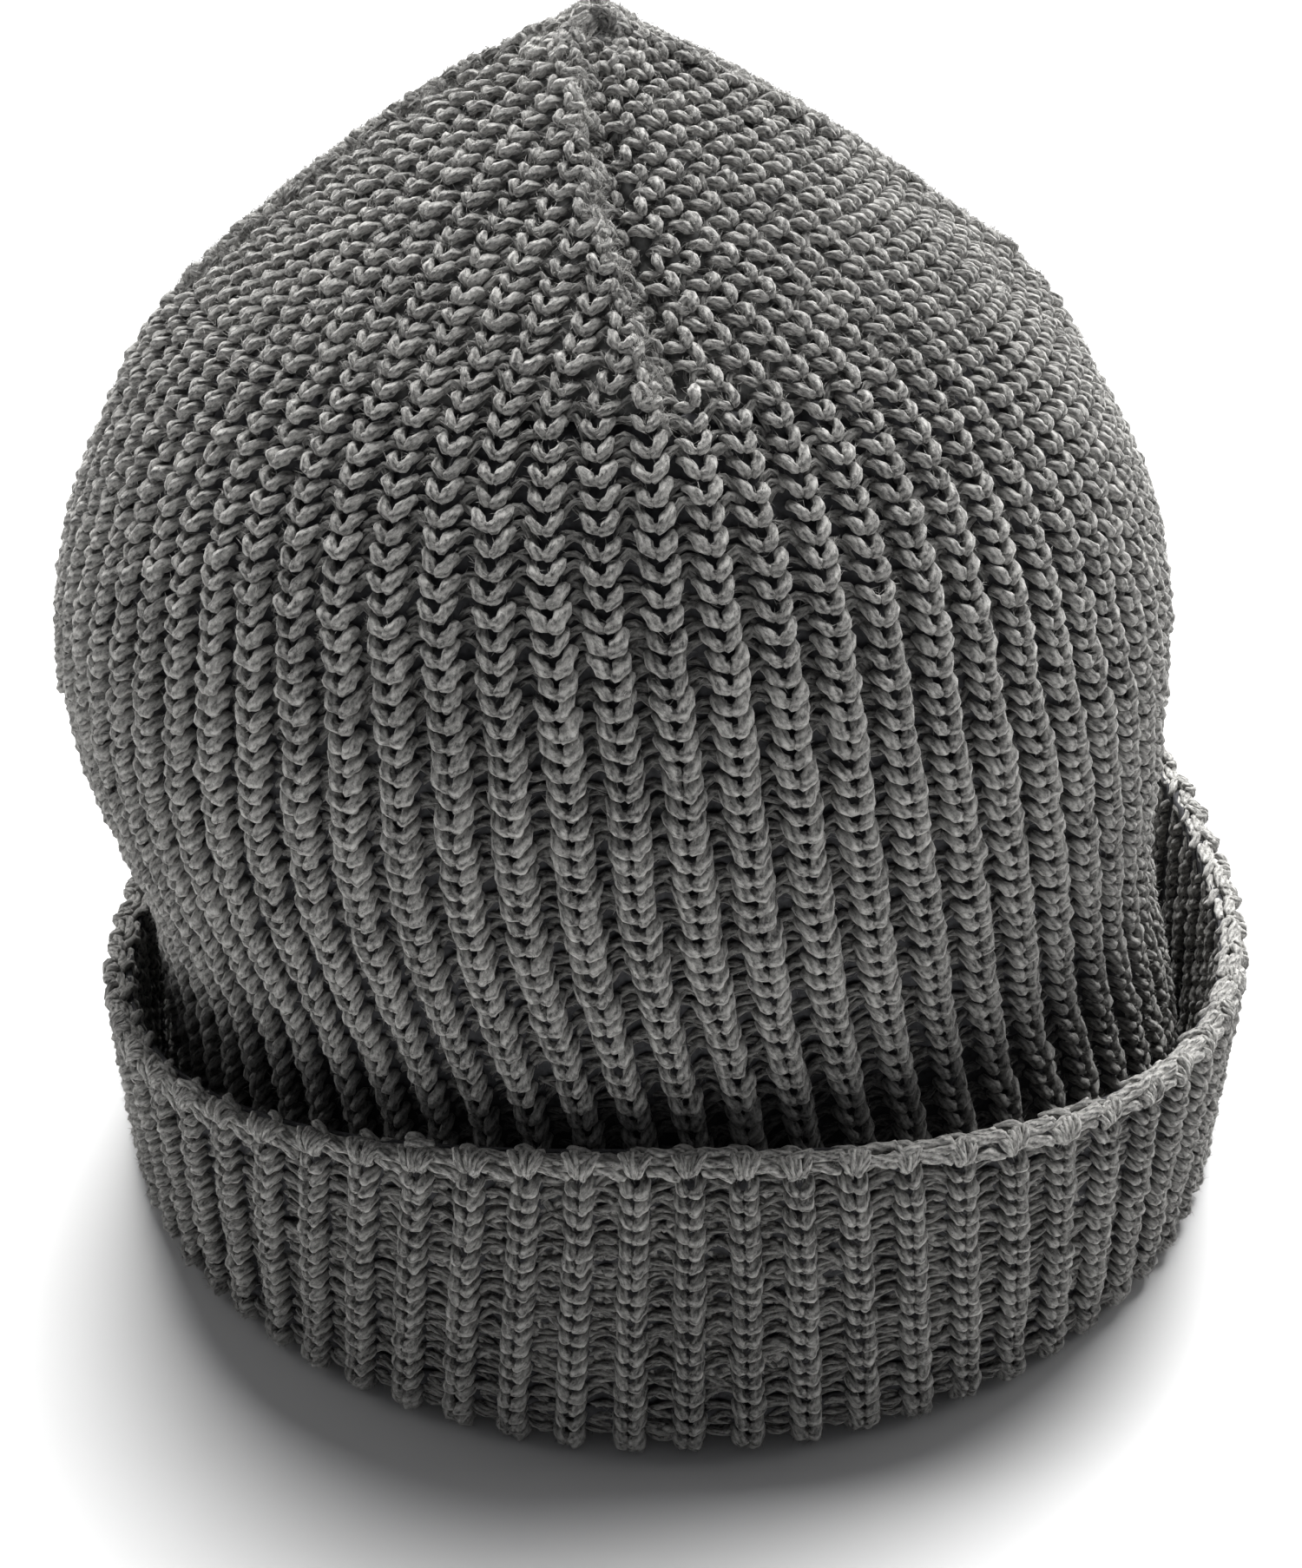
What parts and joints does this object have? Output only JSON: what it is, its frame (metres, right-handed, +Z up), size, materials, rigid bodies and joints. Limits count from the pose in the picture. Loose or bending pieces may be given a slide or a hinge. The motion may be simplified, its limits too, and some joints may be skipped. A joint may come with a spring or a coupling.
{
  "type": "knit beanie",
  "caption": "Soft ribbed knit cap with a pointed, darted crown and a turned-up cuff, open below for the head.",
  "frame": {"origin": "centre of the flat underside of the cuff's fold, on the surface the hat stands on", "axes": "+Z up through the crown, -Y the front with the visible crown dart, +X the right side seen from the front"},
  "size_m": [0.1907, 0.19, 0.1897],
  "materials": {
    "rib_knit": "charcoal grey melange plied yarn, 1x1 rib",
    "seam_yarn": "same yarn, linked and puckered, in its own shadow",
    "label_tape": "blank woven satin tape",
    "label_thread": "fine sewing thread"
  },
  "bodies": {
    "root": {"body_wall": "rib_knit", "crown_gore_front_right": "rib_knit", "crown_gore_back_right": "rib_knit", "crown_gore_back_left": "rib_knit", "crown_gore_front_left": "rib_knit", "turn_up_fold": "rib_knit", "cuff_band": "rib_knit", "cast_on_edge": "rib_knit", "dart_seam_front": "seam_yarn", "dart_seam_right": "seam_yarn", "dart_seam_back": "seam_yarn", "dart_seam_left": "seam_yarn", "crown_gather_thread": "seam_yarn", "back_seam": "seam_yarn", "cuff_seam": "seam_yarn", "care_label": "label_tape", "label_stitches": "label_thread"}
  },
  "joints": []
}
